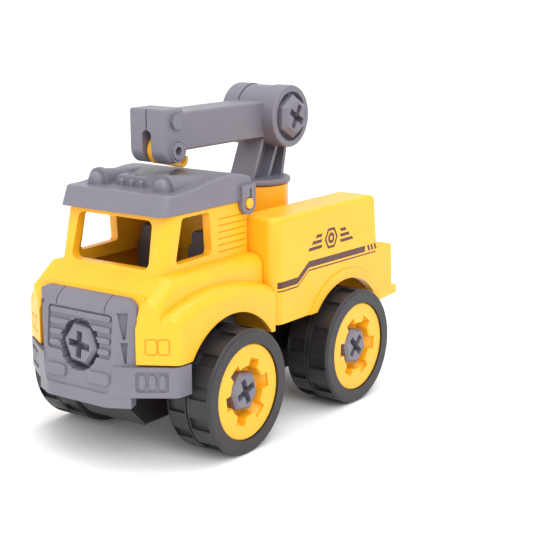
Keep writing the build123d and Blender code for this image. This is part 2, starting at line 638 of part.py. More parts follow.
post_dir = Vector(POST_CORNER[0] - POST_EDGE[0], POST_CORNER[1] - POST_EDGE[1], 0).normalized()
POST_PLANE = Plane(origin=(*POST_EDGE, 49.5), x_dir=post_dir, z_dir=(post_dir.Y, -post_dir.X, 0))


ROUND_FOOT_Z = GRILLE_TOP_Z - GRILLE_ROUND_H
ROUND_CENTRE = (68.17, 54.85)  # centre of the rounded top
PANEL_Z = 48.0
PANEL_BARS_Z = (42.5, 46.4, 50.2, 54.1)
PAD_Z = 33.2
WINDOW_FOOT_Z = 28.4
WELL_NOTCHES = 20
WELL_NOTCH_R = 0.35


def tilt_x(z):
    """X of the tilted grille face at height z."""
    return FACE_X - (z - FACE_Z) * tan(radians(FACE_TILT))


with BuildPart() as front_grille:
    # radiator block: plan outline trimmed by the tilted, rounded side profile
    with BuildSketch(Plane.XY.offset(BUMPER_LOW_Z + 4)):
        outline([
            (CAB_WALL_X, -GRILLE_HALF_W), (POST_CORNER[0], -POST_CORNER[1]), (FACE_X + 2, 1.6 - POST_EDGE[1]),
            (FACE_X + 2, POST_EDGE[1] - 1.6), (POST_CORNER[0], POST_CORNER[1]), (CAB_WALL_X, GRILLE_HALF_W),
        ])
    extrude(amount=GRILLE_TOP_Z - BUMPER_LOW_Z - 4)
    with BuildSketch(Plane.XZ) as side_profile:
        with BuildLine():
            Polyline(
                (CAB_WALL_X, GRILLE_TOP_Z), (CAB_WALL_X, BUMPER_LOW_Z), (tilt_x(BUMPER_LOW_Z), BUMPER_LOW_Z),
                (tilt_x(ROUND_FOOT_Z), ROUND_FOOT_Z),
            )
            RadiusArc((tilt_x(ROUND_FOOT_Z), ROUND_FOOT_Z), (CAB_WALL_X, GRILLE_TOP_Z), -GRILLE_TOP_R)
        make_face()
    extrude(amount=GRILLE_HALF_W + 2, both=True, mode=Mode.INTERSECT)
    with BuildSketch(Plane.YZ):
        RectangleRounded(2 * GRILLE_HALF_W, 2 * GRILLE_TOP_Z, GRILLE_CORNER_R)
    extrude(amount=HALF_LENGTH + 5, mode=Mode.INTERSECT)
    # bumper and wings
    with BuildSketch(Plane.XY.offset(WING_LOW_Z)) as wings:
        outline([
            (HALF_LENGTH, 0), (HALF_LENGTH, NOSE_FLAT_Y), WING_ROOT, WING_CORNER, WING_TIP,
            (WING_TIP[0], WING_TIP[1] - 2.4), (WING_CORNER[0] - 1.4, WING_CORNER[1] - 2.6),
            (WING_ROOT[0] - 2.8, WING_ROOT[1] - 1.6), (CAB_WALL_X, 20), (CAB_WALL_X, 0),
        ])
        mirror(about=Plane.YZ.rotated((0, 0, 90)))
        fillet(wings.vertices().filter_by(lambda v: abs(abs(v.Y) - WING_CORNER[1]) < 0.1), 2.4)
        fillet(wings.vertices().filter_by(lambda v: abs(abs(v.Y) - NOSE_FLAT_Y) < 0.1), 6)
    extrude(amount=BUMPER_TOP_Z - WING_LOW_Z)
    with BuildSketch(Plane.XY.offset(BUMPER_LOW_Z)) as bumper:
        outline([
            (HALF_LENGTH, -NOSE_FLAT_Y), (HALF_LENGTH, NOSE_FLAT_Y), (WING_ROOT[0], WING_ROOT[1] - 0.4),
            (CAB_WALL_X, 20), (CAB_WALL_X, -20), (WING_ROOT[0], 0.4 - WING_ROOT[1]),
        ])
        fillet(bumper.vertices().filter_by(lambda v: abs(abs(v.Y) - NOSE_FLAT_Y) < 0.1), 6)
    extrude(amount=WING_LOW_Z - BUMPER_LOW_Z + 1)
    # window of the bumper frame, down to the tilted face, with two raised pads
    with BuildSketch(Plane.YZ.offset(HALF_LENGTH + 1)):
        with Locations((0, WINDOW_FOOT_Z + GRILLE_TOP_Z / 2)):
            RectangleRounded(32.4, GRILLE_TOP_Z, 3.6)
    window = extrude(amount=-20, mode=Mode.PRIVATE)
    with BuildSketch(FACE_PLANE):
        Rectangle(60, 80)
    window = window & extrude(amount=20, mode=Mode.PRIVATE)
    add(window, mode=Mode.SUBTRACT)
    with BuildSketch(FACE_PLANE.offset(-0.5)):
        with Locations((10.3, PAD_Z - FACE_Z), (-10.3, PAD_Z - FACE_Z)):
            RectangleRounded(9.6, 4.0, 1.2)
    extrude(amount=0.5 + RELIEF)
    # radiator panel with four raised bars
    with BuildSketch(FACE_PLANE):
        with Locations((0, PANEL_Z - FACE_Z)):
            RectangleRounded(30.4, 15.6, 1.6)
    extrude(amount=-RELIEF, mode=Mode.SUBTRACT)
    with BuildSketch(FACE_PLANE.offset(-RELIEF - 0.5)):
        for level in PANEL_BARS_Z:
            with Locations((0, level - FACE_Z)):
                RectangleRounded(28.4, 1.9, 0.9)
    extrude(amount=RELIEF + 0.5)
    # triangular vents on the corner posts, and ovals in the wings
    with BuildSketch(POST_PLANE.offset(1)):
        outline([(2.2, 7.4), (6.0, 7.4), (4.9, -2.0), (4.0, -2.0)])
        outline([(3.2, -3.0), (5.6, -3.0), (4.9, -10.4), (4.4, -10.4)])
    vent = extrude(amount=-VENT_DEPTH - 1, mode=Mode.PRIVATE)
    add(vent, mode=Mode.SUBTRACT)
    add(mirror(vent, about=Plane.XZ, mode=Mode.PRIVATE), mode=Mode.SUBTRACT)
    with BuildSketch(WING_PLANE):
        with Locations((7.1, 0)):
            RectangleRounded(11.4, 7.2, 1.2)
        for centre in (3.6, 7.1, 10.6):
            with Locations((centre, -0.1)):
                SlotOverall(5.0, 2.2, rotation=90, mode=Mode.SUBTRACT)
    ovals = extrude(amount=-RELIEF * 0.8, mode=Mode.PRIVATE)
    add(ovals, mode=Mode.SUBTRACT)
    add(mirror(ovals, about=Plane.XZ, mode=Mode.PRIVATE), mode=Mode.SUBTRACT)
    # seams across the rounded top
    with BuildSketch(Plane.XZ):
        with Locations(ROUND_CENTRE):
            Circle(GRILLE_TOP_R - SEAM_W)
    core = extrude(amount=GRILLE_HALF_W, both=True, mode=Mode.PRIVATE)
    with BuildSketch(Plane.XZ):
        with Locations((CAB_WALL_X + 4, GRILLE_TOP_Z - 2)):
            Rectangle(10, 7)
    seam = extrude(amount=SEAM_W / 2, both=True, mode=Mode.PRIVATE) - core
    for seam_y in (SEAM_Y, -SEAM_Y):
        add(seam.moved(Location((0, seam_y, 0))), mode=Mode.SUBTRACT)
    # deep screw hole with a knurled rim
    with BuildSketch(Plane.YZ.offset(HALF_LENGTH)):
        with Locations((0, GRILLE_HOLE_Z)):
            Circle(SCREW_WELL_R)
            with PolarLocations(SCREW_WELL_R, WELL_NOTCHES):
                Circle(WELL_NOTCH_R)
    extrude(amount=GRILLE_SCREW_SEAT_X - HALF_LENGTH, mode=Mode.SUBTRACT)
    with BuildSketch(Plane.YZ.offset(CAB_WALL_X)):
        with Locations((0, GRILLE_HOLE_Z)):
            Circle(SHANK_R + RUN_CLEAR)
    extrude(amount=10, mode=Mode.SUBTRACT)
finish("front_grille", front_grille)

with BuildPart() as grille_screw:
    with Locations(Location((GRILLE_SCREW_SEAT_X, 0, GRILLE_HOLE_Z), (0, 0, -90))):
        add(hex_screw(GRILLE_SCREW_L, turn=6.5))
finish("grille_screw", grille_screw)

# ---- Service body: bed with two side boxes and the turret pedestal -----------------------------
BOX_REAR_X = -61.1
BOX_REAR_TOP_X = -58.9
TAIL_X = -74.2
REAR_ARCH_R = 27.0
BOX_CORNER_R = 5.0
BOX_EDGE_R = 1.8
BAND_T = 0.7
BAND_W = 4.0
TURRET_SCREW_R = 1.6
SLEEVE_R = 8.2
TURRET_SHAFT_R = 6.0


def side_box(inset, foot_z):
    """Left service box block, inset from the outer face all round."""
    front_x = SERVICE_FRONT_X - inset
    with BuildPart() as box:
        with BuildSketch(Plane.XZ.offset(-(BOX_INNER_Y + inset))):
            outline([
                (front_x, foot_z), (front_x, BOX_TOP_Z - inset), (BOX_REAR_TOP_X + inset, BOX_TOP_Z - inset),
                (BOX_REAR_X + inset, BED_Z + 2), (BOX_REAR_X - 1.5 + inset, BED_Z - 1),
                (BOX_REAR_X - 1.5 + inset, foot_z),
            ])
        extrude(amount=-(BODY_HALF_W - BOX_INNER_Y - 2 * inset))
        outer_uprights = box.edges().filter_by(Axis.Z).filter_by(lambda e: e.center().Y > BODY_HALF_W - 5)
        fillet(outer_uprights.sort_by(Axis.X)[-1:], BOX_CORNER_R - inset)
        if inset == 0:
            fillet(box.faces().sort_by(Axis.Z)[-1].edges(), BOX_EDGE_R)
    return box.part


box_outer = side_box(0, BED_Z - 8)
box_inner = side_box(WALL, BED_Z - 10)

with BuildPart() as service_body:
    with BuildSketch(Plane.XZ):
        outline([
            (SERVICE_FRONT_X, SKIRT_Z), (SERVICE_FRONT_X, BED_Z), (BOX_REAR_X - 6, BED_Z),
            (TAIL_X + 1, BED_Z - 1.8), (TAIL_X, 41.0), (-HALF_LENGTH, 39.9), (-HALF_LENGTH, 36.6),
            (BOX_REAR_X - 4.6, 36.0), (REAR_AXLE_X, 36.0), (REAR_AXLE_X, SKIRT_Z),
        ])
    extrude(amount=BODY_HALF_W, both=True)
    fillet(service_body.edges().filter_by(Axis.Z).sort_by(Axis.X)[-2:], BOX_CORNER_R)
    fillet(service_body.faces().sort_by(Axis.Z)[-1].edges().sort_by(Axis.X)[0], 1.5)
    # side boxes
    add(box_outer)
    add(mirror(box_outer, about=Plane.XZ, mode=Mode.PRIVATE))
    # pedestal
    with BuildSketch(Plane.XY.offset(BED_Z - 1)):
        with Locations((SLEW_X, 0)):
            Circle(PEDESTAL_R)
    extrude(amount=PEDESTAL_TOP_Z - BED_Z + 1)
    # hollow underneath: lower body, boxes and pedestal, around the turret sleeve
    with BuildSketch(Plane.XZ):
        outline([
            (SERVICE_FRONT_X - WALL, 20), (SERVICE_FRONT_X - WALL, BED_Z - WALL),
            (BOX_REAR_X - 6, BED_Z - WALL), (TAIL_X + 1 + WALL, BED_Z - 1.8 - WALL),
            (TAIL_X + WALL, 20),
        ])
    extrude(amount=BODY_HALF_W - WALL, both=True, mode=Mode.SUBTRACT)
    add(box_inner, mode=Mode.SUBTRACT)
    add(mirror(box_inner, about=Plane.XZ, mode=Mode.PRIVATE), mode=Mode.SUBTRACT)
    with BuildSketch(Plane.XY.offset(BED_Z - 5)):
        with Locations((SLEW_X, 0)):
            Circle(PEDESTAL_R - WALL)
            Circle(SLEEVE_R, mode=Mode.SUBTRACT)
    extrude(amount=PEDESTAL_TOP_Z - WALL - BED_Z + 5, mode=Mode.SUBTRACT)
    with BuildSketch(Plane.XY.offset(BED_Z - 5)):
        with Locations((SLEW_X, 0)):
            Circle(TURRET_SHAFT_R + RUN_CLEAR)
    extrude(amount=40, mode=Mode.SUBTRACT)
    # wheel arches
    with BuildSketch(Plane.XZ):
        with Locations((REAR_AXLE_X, AXLE_Z)):
            Circle(REAR_ARCH_R)
    extrude(amount=BODY_HALF_W + 5, both=True, mode=Mode.SUBTRACT)
    # raised band round each arch and along the skirt
    with BuildSketch(Plane.XZ.offset(-(BODY_HALF_W - 0.5))):
        with Locations((REAR_AXLE_X, AXLE_Z)):
            Circle(REAR_ARCH_R + BAND_W)
            Circle(REAR_ARCH_R, mode=Mode.SUBTRACT)
        with Locations((REAR_AXLE_X, SKIRT_Z + REAR_ARCH_R)):
            Rectangle(2 * REAR_ARCH_R + 20, 2 * REAR_ARCH_R, mode=Mode.INTERSECT)
    band = extrude(amount=-(BAND_T + 0.5))
    mirror(band, about=Plane.XZ)
    # boss for the bed screw
    with BuildSketch(Plane.XY.offset(TUB_TOP_Z + SIDE_GAP)):
        with Locations((BED_SCREW_X, 0)):
            Circle(SHANK_R + WALL)
            Circle(SHANK_R + RUN_CLEAR, mode=Mode.SUBTRACT)
    extrude(amount=BED_Z - WALL / 2 - TUB_TOP_Z - SIDE_GAP)
finish("service_body", service_body)

with BuildPart() as bed_screw:
    with Locations(Location((BED_SCREW_X, 0, BED_SCREW_SEAT_Z), (-90, 0, 0))):
        add(hex_screw(BED_SCREW_L))
finish("bed_screw", bed_screw)

# ---- Turret: flange, ribbed leaning mast and knuckle --------------------------------------------
FLANGE_R = 14.3
FLANGE_T = 2.4
MAST_HALF_W = 5.6
WEB_T = 1.6
RIB_T = 1.7
KNUCKLE_R = 11.8
PIVOT_SHANK_R = 3.5
KNUCKLE_BORE_R = PIVOT_SHANK_R + RUN_CLEAR
WASHER_R = 9.0
WASHER_T = 1.6
TURRET_HEX_R = 4.0
TURRET_HEX_T = 1.8
TURRET_THREAD_L = 14.0
SHAFT_END_Z = BED_Z - WALL + 0.2
MAST_FRONT = ((-16.6, 88.0), (-24.6, 105.5))
MAST_MIDDLE = ((-27.0, 88.0), (-33.6, 102.3))
MAST_REAR = ((-38.1, 88.0), (-41.9, 105.5))

with BuildPart() as turret_mast:
    flange_z = PEDESTAL_TOP_Z + SIDE_GAP
    with BuildSketch(Plane.XY.offset(flange_z)):
        with Locations((SLEW_X, 0)):
            Circle(FLANGE_R)
    extrude(amount=FLANGE_T)
    fillet(turret_mast.edges(), 0.9)
    with BuildSketch(Plane.XY.offset(SHAFT_END_Z)):
        with Locations((SLEW_X, 0)):
            Circle(TURRET_SHAFT_R)
    extrude(amount=flange_z - SHAFT_END_Z + 0.5)
    # web
    with BuildSketch(Plane.XZ):
        outline([MAST_FRONT[0], MAST_FRONT[1], MAST_REAR[1], MAST_REAR[0]])
    extrude(amount=WEB_T / 2, both=True)
    # front, middle and rear ribs
    with BuildSketch(Plane.XZ):
        for foot, head in (MAST_FRONT, MAST_MIDDLE):
            outline([foot, head, (head[0] - RIB_T, head[1]), (foot[0] - RIB_T, foot[1])])
        outline([MAST_REAR[0], MAST_REAR[1], (MAST_REAR[1][0] + RIB_T, MAST_REAR[1][1]),
                 (MAST_REAR[0][0] + RIB_T, MAST_REAR[0][1])])
        with Locations((PIVOT_X, PIVOT_Z)):
            Circle(KNUCKLE_R)
    extrude(amount=MAST_HALF_W, both=True)
    with BuildSketch(Plane.XZ):
        with Locations((PIVOT_X, PIVOT_Z)):
            Circle(KNUCKLE_BORE_R)
    extrude(amount=MAST_HALF_W + 1, both=True, mode=Mode.SUBTRACT)
    with BuildSketch(Plane.XY.offset(SHAFT_END_Z)):
        with Locations((SLEW_X, 0)):
            Circle(TURRET_SCREW_R)
    extrude(amount=TURRET_THREAD_L + 2, mode=Mode.SUBTRACT)
finish("turret_mast", turret_mast)

with BuildPart() as turret_screw:
    washer_z = SHAFT_END_Z - SIDE_GAP
    with BuildSketch(Plane.XY.offset(washer_z - WASHER_T)):
        with Locations((SLEW_X, 0)):
            Circle(WASHER_R)
    extrude(amount=WASHER_T)
    with BuildSketch(Plane.XY.offset(washer_z - WASHER_T - TURRET_HEX_T)):
        with Locations((SLEW_X, 0)):
            RegularPolygon(TURRET_HEX_R, 6)
    extrude(amount=TURRET_HEX_T)
    with BuildSketch(Plane.XY.offset(washer_z)):
        with Locations((SLEW_X, 0)):
            Circle(TURRET_SCREW_R)
    extrude(amount=TURRET_THREAD_L)
finish("turret_screw", turret_screw)

# ---- Boom: two half shells bolted together, forked round the mast knuckle -----------------------
DRUM_R = 12.2
DRUM_OUTER_Y = 13.0
DRUM_RECESS_R = 9.7
DRUM_FLOOR_Y = 10.4
EAR_INNER_Y = MAST_HALF_W + SIDE_GAP
FORK_R = KNUCKLE_R + 0.6
SEAM_GAP = 0.05               # each half stops this far from the middle plane
BOOM_WALL = 1.8
BEAM_EDGE_R = 1.1
HEAD_BOTTOM_Z = 101.8
HEAD_TOP_Z = 121.7
SLOT_HALF_W = 2.1
SLOT_TOP_Z = 114.0
SLOT_REAR_X = 25.0
SEAM_MOUTH = 0.45
PIN_R = 2.5
PIN_BORE_R = 1.6
PIN_FLANGE_R = 3.3
PIN_FLANGE_T = 0.7
HEAD_BOLT_R = 1.5
HEAD_HEX_R = 3.0
HEAD_NUT_T = 1.6
HEAD_BOLT_X = 31.4
HEAD_BOLT_Z = 117.0
PIVOT_HEX_R = 8.5
PIVOT_HEX_T = 5.1
PIVOT_BEVEL = 1.8
PIVOT_NUT_T = 3.6


def boom_half():
    """Left half of the boom."""
    cavity_rear_x = PIVOT_X + FORK_R + BOOM_WALL
    cavity_front_x = HEAD_REAR_X - 1.5 * BOOM_WALL
    with BuildPart() as half:
        # beam
        with BuildSketch(Plane.XZ.offset(-SEAM_GAP)):
            with Locations(((PIVOT_X + HEAD_REAR_X + 2) / 2, (BOOM_BOTTOM_Z + BOOM_TOP_Z) / 2)):
                Rectangle(HEAD_REAR_X + 2 - PIVOT_X, BOOM_TOP_Z - BOOM_BOTTOM_Z)
        extrude(amount=-(BOOM_HALF_W - SEAM_GAP))
        fillet(half.edges().filter_by(Axis.X).filter_by(lambda e: e.center().Y > 1), BEAM_EDGE_R)
        # head with a rounded chin
        with BuildSketch(Plane.XZ.offset(-SEAM_GAP)) as head:
            with Locations(((HEAD_REAR_X + HEAD_FRONT_X) / 2, (HEAD_BOTTOM_Z + HEAD_TOP_Z) / 2)):
                Rectangle(HEAD_FRONT_X - HEAD_REAR_X, HEAD_TOP_Z - HEAD_BOTTOM_Z)
            fillet(head.vertices().group_by(Axis.Y)[0], 5.4)
            fillet(head.vertices().group_by(Axis.Y)[-1], 0.8)
        block = extrude(amount=-(HEAD_HALF_W - SEAM_GAP), mode=Mode.PRIVATE)
        outer_rim = block.faces().sort_by(Axis.Y)[-1].edges()
        add(block.fillet(1.3, list(outer_rim)))
        # drum
        with BuildSketch(Plane.XZ.offset(-EAR_INNER_Y)):
            with Locations((PIVOT_X, PIVOT_Z)):
                Circle(DRUM_R)
        drum = extrude(amount=-(DRUM_OUTER_Y - EAR_INNER_Y), mode=Mode.PRIVATE)
        add(drum.fillet(0.8, list(drum.faces().sort_by(Axis.Y)[-1].edges())))
        # fork pocket round the knuckle and clear of the mast
        with BuildSketch(Plane.XZ):
            with Locations((PIVOT_X, PIVOT_Z)):
                Circle(FORK_R)
        extrude(amount=-EAR_INNER_Y, mode=Mode.SUBTRACT)
        with BuildSketch(Plane.XZ):
            with Locations((PIVOT_X - 10, PIVOT_Z)):
                Rectangle(20, 40)
        extrude(amount=-EAR_INNER_Y, mode=Mode.SUBTRACT)
        # hollow beam
        with BuildSketch(Plane.XZ):
            with Locations(((cavity_rear_x + cavity_front_x) / 2, (BOOM_BOTTOM_Z + BOOM_TOP_Z) / 2)):
                Rectangle(cavity_front_x - cavity_rear_x, BOOM_TOP_Z - BOOM_BOTTOM_Z - 2 * BOOM_WALL)
        extrude(amount=-(BOOM_HALF_W - BOOM_WALL), mode=Mode.SUBTRACT)
        # recess and hole of the pivot screw
        with BuildSketch(Plane.XZ.offset(-DRUM_FLOOR_Y)):
            with Locations((PIVOT_X, PIVOT_Z)):
                Circle(DRUM_RECESS_R)
        extrude(amount=-DRUM_OUTER_Y, mode=Mode.SUBTRACT)
        with BuildSketch(Plane.XZ):
            with Locations((PIVOT_X, PIVOT_Z)):
                Circle(PIVOT_SHANK_R + RUN_CLEAR)
        extrude(amount=-20, mode=Mode.SUBTRACT)
        # hook slot, open at the front, below and behind, with a sloped roof
        with BuildSketch(Plane.YZ.offset(SLOT_REAR_X)):
            outline([
                (0, HEAD_BOTTOM_Z - 5), (SLOT_HALF_W, HEAD_BOTTOM_Z - 5), (SLOT_HALF_W, SLOT_TOP_Z - 1.2),
                (SLOT_HALF_W - 1.2, SLOT_TOP_Z), (0, SLOT_TOP_Z),
            ])
        extrude(amount=HEAD_FRONT_X - SLOT_REAR_X + 2, mode=Mode.SUBTRACT)
        # the seam opens a little towards the front of the head
        with BuildSketch(Plane.XY.offset(SLOT_TOP_Z - 1)):
            outline([(HEAD_FRONT_X - 2.5, 0), (HEAD_FRONT_X + 1, 0), (HEAD_FRONT_X + 1, SEAM_MOUTH)])
        extrude(amount=HEAD_TOP_Z - SLOT_TOP_Z + 2, mode=Mode.SUBTRACT)
        # boss and holes of the hook pin and the head bolt
        with BuildSketch(Plane.XZ.offset(-(HEAD_HALF_W - 0.5))):
            with Locations((HOOK_PIN_X, HOOK_PIN_Z)):
                Circle(PIN_FLANGE_R + 1)
                Circle(PIN_FLANGE_R + 0.2, mode=Mode.SUBTRACT)
        extrude(amount=-1.0)
        with BuildSketch(Plane.XZ):
            with Locations((HOOK_PIN_X, HOOK_PIN_Z)):
                Circle(PIN_R + RUN_CLEAR)
            with Locations((HEAD_BOLT_X, HEAD_BOLT_Z)):
                Circle(HEAD_BOLT_R + RUN_CLEAR)
        extrude(amount=-20, mode=Mode.SUBTRACT)
    return half.part


left_half = boom_half()
with BuildPart() as boom_left_half:
    add(left_half)
finish("boom_left_half", boom_left_half)

with BuildPart() as boom_right_half:
    add(mirror(left_half, about=Plane.XZ))
finish("boom_right_half", boom_right_half)

with BuildPart() as boom_pivot_screw:
    with Locations((PIVOT_X, DRUM_FLOOR_Y + 0.1, PIVOT_Z)):
        add(hex_screw(2 * DRUM_FLOOR_Y + 3, PIVOT_SHANK_R, PIVOT_HEX_R, PIVOT_HEX_T, PIVOT_BEVEL, 30.0))
finish("boom_pivot_screw", boom_pivot_screw)

with BuildPart() as boom_pivot_nut:
    with BuildSketch(Plane.XZ.offset(DRUM_FLOOR_Y + 0.1)):
        with Locations((PIVOT_X, PIVOT_Z)):
            RegularPolygon(PIVOT_HEX_R, 6)
            Circle(PIVOT_SHANK_R + RUN_CLEAR, mode=Mode.SUBTRACT)
    extrude(amount=PIVOT_NUT_T)
    chamfer(boom_pivot_nut.faces().sort_by(Axis.Y)[0].outer_wire().edges(), 0.8)
finish("boom_pivot_nut", boom_pivot_nut)

with BuildPart() as head_bolt:
    with BuildSketch(Plane.XZ.offset(-HEAD_HALF_W)):
        with Locations((HEAD_BOLT_X, HEAD_BOLT_Z)):
            RegularPolygon(HEAD_HEX_R, 6)
    extrude(amount=-1.3)
    with BuildSketch(Plane.XZ.offset(-HEAD_HALF_W)):
        with Locations((HEAD_BOLT_X, HEAD_BOLT_Z)):
            Circle(HEAD_BOLT_R)
    extrude(amount=2 * HEAD_HALF_W + HEAD_NUT_T)
finish("head_bolt", head_bolt)

with BuildPart() as head_nut:
    with BuildSketch(Plane.XZ.offset(HEAD_HALF_W)):
        with Locations((HEAD_BOLT_X, HEAD_BOLT_Z)):
            RegularPolygon(HEAD_HEX_R, 6)
            Circle(HEAD_BOLT_R + RUN_CLEAR, mode=Mode.SUBTRACT)
    extrude(amount=HEAD_NUT_T)
finish("head_nut", head_nut)

with BuildPart() as hook_pin:
    with BuildSketch(Plane.XZ):
        with Locations((HOOK_PIN_X, HOOK_PIN_Z)):
            Circle(PIN_R)
    extrude(amount=HEAD_HALF_W + 0.2, both=True)
    for side in (1, -1):
        with BuildSketch(Plane.XZ.offset(-side * HEAD_HALF_W)):
            with Locations((HOOK_PIN_X, HOOK_PIN_Z)):
                Circle(PIN_FLANGE_R)
        extrude(amount=-side * PIN_FLANGE_T)
    with BuildSketch(Plane.XZ):
        with Locations((HOOK_PIN_X, HOOK_PIN_Z)):
            Circle(PIN_BORE_R)
    extrude(amount=20, both=True, mode=Mode.SUBTRACT)
finish("hook_pin", hook_pin)

# ---- Tow hook, folded back under the boom head ---------------------------------------------------
HOOK_HALF_T = 1.6
HOOK_EYE_R = 5.2
HOOK_BORE_R = PIN_R + RUN_CLEAR
CURL_X = 19.6
CURL_Z = 101.6
CURL_R = 3.0
THROAT_R = 1.5
TIP_Z = 102.6

with BuildPart() as hook:
    with BuildSketch(Plane.XZ) as profile:
        with Locations((CURL_X, CURL_Z)):
            Circle(CURL_R)
        # the shank runs from the eye to the curl
        outline([
            (HOOK_PIN_X - 4.4, HOOK_PIN_Z - 2.6), (CURL_X + THROAT_R, CURL_Z + 0.2),
            (CURL_X, CURL_Z - CURL_R),
            (HOOK_PIN_X, HOOK_PIN_Z - HOOK_EYE_R),
        ])
        # the throat is open at the top, and leaves a short upright tip
        with Locations((CURL_X, CURL_Z)):
            Circle(THROAT_R, mode=Mode.SUBTRACT)
        outline([
            (CURL_X - THROAT_R, CURL_Z), (CURL_X + THROAT_R, CURL_Z), (CURL_X + THROAT_R, CURL_Z + CURL_R),
            (CURL_X - THROAT_R, CURL_Z + CURL_R),
        ], mode=Mode.SUBTRACT)
        with Locations((CURL_X - CURL_R, TIP_Z + CURL_R)):
            Rectangle(2 * CURL_R, 2 * CURL_R, mode=Mode.SUBTRACT)
        with Locations((HOOK_PIN_X, HOOK_PIN_Z)):
            Circle(HOOK_EYE_R)
            Circle(HOOK_BORE_R, mode=Mode.SUBTRACT)
    extrude(amount=HOOK_HALF_T, both=True)
    tip = hook.edges().filter_by(Axis.Y).filter_by(lambda e: e.center().X < CURL_X)
    fillet(tip.filter_by(lambda e: e.center().Z > TIP_Z - 0.1), 0.6)
finish("hook", hook)
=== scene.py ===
"""Looks of the toy tow truck: moulded plastic materials, printed side decals, light and camera."""

import json
import math

import bpy
from mathutils import Matrix, Vector


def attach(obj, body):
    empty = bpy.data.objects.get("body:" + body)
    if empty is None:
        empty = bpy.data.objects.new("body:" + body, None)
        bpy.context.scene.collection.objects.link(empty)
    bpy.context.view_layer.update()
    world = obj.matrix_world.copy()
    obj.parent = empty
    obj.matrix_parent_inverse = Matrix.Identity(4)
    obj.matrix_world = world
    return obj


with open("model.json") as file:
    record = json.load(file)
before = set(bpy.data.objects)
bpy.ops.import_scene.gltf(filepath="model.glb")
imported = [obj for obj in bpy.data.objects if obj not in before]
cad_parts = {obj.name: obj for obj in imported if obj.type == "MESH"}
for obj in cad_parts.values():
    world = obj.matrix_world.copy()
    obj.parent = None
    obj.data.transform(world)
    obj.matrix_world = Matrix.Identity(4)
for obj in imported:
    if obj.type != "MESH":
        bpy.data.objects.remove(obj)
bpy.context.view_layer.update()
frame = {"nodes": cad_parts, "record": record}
NODES = frame["nodes"]
MM = 0.001

# ---- Colours (linear) and finishes ------------------------------------------------------------
YELLOW = (0.930, 0.445, 0.012)
GREY = (0.165, 0.155, 0.190)
SEAT_GREY = (0.085, 0.070, 0.074)
BLACK = (0.014, 0.013, 0.016)
TYRE_BLACK = (0.020, 0.018, 0.021)
PRINT_BROWN = (0.070, 0.014, 0.006)
FLOOR_WHITE = (0.96, 0.96, 0.96)


# ---- Plastic: noise scales in features per metre, lengths in mm ---------------------------------
PLASTIC_IOR = 1.49
DRIFT_SCALE = 45
DRIFT_RANGE = (0.955, 1.035)  # colour factors of the drift's two ends
# Patchy noise that breaks up the lighter edges, which are partly rubbed wear and partly a painted
# highlight.
EDGE_PATCH_SCALE = 900
EDGE_PATCH_RANGE = (0.42, 0.66)
EDGE_PATCH_LEAST = 0.15
ROUGH_SCALE = 260
ROUGH_SPREAD = (-0.05, 0.06)  # roughness varies this far round its value
NOISE_MIDDLE = (0.3, 0.7)     # the part of a noise's range that most of it falls in
SWELL_SCALE = 120
SWELL_STRENGTH = 0.05
SWELL_HEIGHT = 0.4
GRAIN_SCALE = 5200
GRAIN_HEIGHT = 0.02
BEVEL_SAMPLES = 6
EDGE_WIDEN = 1.6              # the lightened edge band, partly rubbed wear and partly painted highlight, is this much wider than the soft edge
EDGE_DOT = (0.75, 0.99)       # normals' dot product from full edge to flat
SCATTER_RADIUS = (1.0, 0.45, 0.12)
SCATTER_SCALE = 1.2


# ---- Shader helpers -----------------------------------------------------------------------------
def new_material(name):
    """A node material with an empty tree, and its output node."""
    material = bpy.data.materials.new(name)
    material.use_nodes = True
    material.node_tree.nodes.clear()
    output = material.node_tree.nodes.new("ShaderNodeOutputMaterial")
    return material, output


def add_node(material, kind, **settings):
    """A node of that kind, with its properties set."""
    node = material.node_tree.nodes.new(kind)
    for key, value in settings.items():
        setattr(node, key, value)
    return node


def link(material, source, target):
    material.node_tree.links.new(source, target)


def noise(material, scale, detail=4.0, roughness=0.6):
    """Noise in the object's own coordinates; scale is in features per metre."""
    coords = add_node(material, "ShaderNodeTexCoord")
    texture = add_node(material, "ShaderNodeTexNoise")
    texture.inputs["Scale"].default_value = scale
    texture.inputs["Detail"].default_value = detail
    texture.inputs["Roughness"].default_value = roughness
    link(material, coords.outputs["Object"], texture.inputs["Vector"])
    return texture.outputs["Fac"]


def remap(material, value, low, high, new_low, new_high):
    """Maps value from low..high to new_low..new_high, clamped."""
    node = add_node(material, "ShaderNodeMapRange")
    for index, number in enumerate((low, high, new_low, new_high), start=1):
        node.inputs[index].default_value = number
    link(material, value, node.inputs[0])
    return node.outputs[0]


def mix_colour(material, factor, colour_a, colour_b):
    node = add_node(material, "ShaderNodeMix", data_type="RGBA")
    link(material, factor, node.inputs["Factor"])
    for socket, colour in ((node.inputs[6], colour_a), (node.inputs[7], colour_b)):
        if isinstance(colour, tuple):
            socket.default_value = (*colour, 1.0)
        else:
            link(material, colour, socket)
    return node.outputs[2]


def scaled(colour, factor):
    return tuple(min(1.0, channel * factor) for channel in colour)


def edge_mask(material, radius):
    """1 on rounded-over edges, 0 on flats: how far a bevelled normal leaves the true one."""
    bevel = add_node(material, "ShaderNodeBevel", samples=BEVEL_SAMPLES)
    bevel.inputs["Radius"].default_value = radius
    geometry = add_node(material, "ShaderNodeNewGeometry")
    dot = add_node(material, "ShaderNodeVectorMath", operation="DOT_PRODUCT")
    link(material, bevel.outputs[0], dot.inputs[0])
    link(material, geometry.outputs["Normal"], dot.inputs[1])
    return remap(material, dot.outputs["Value"], *EDGE_DOT, 1.0, 0.0)


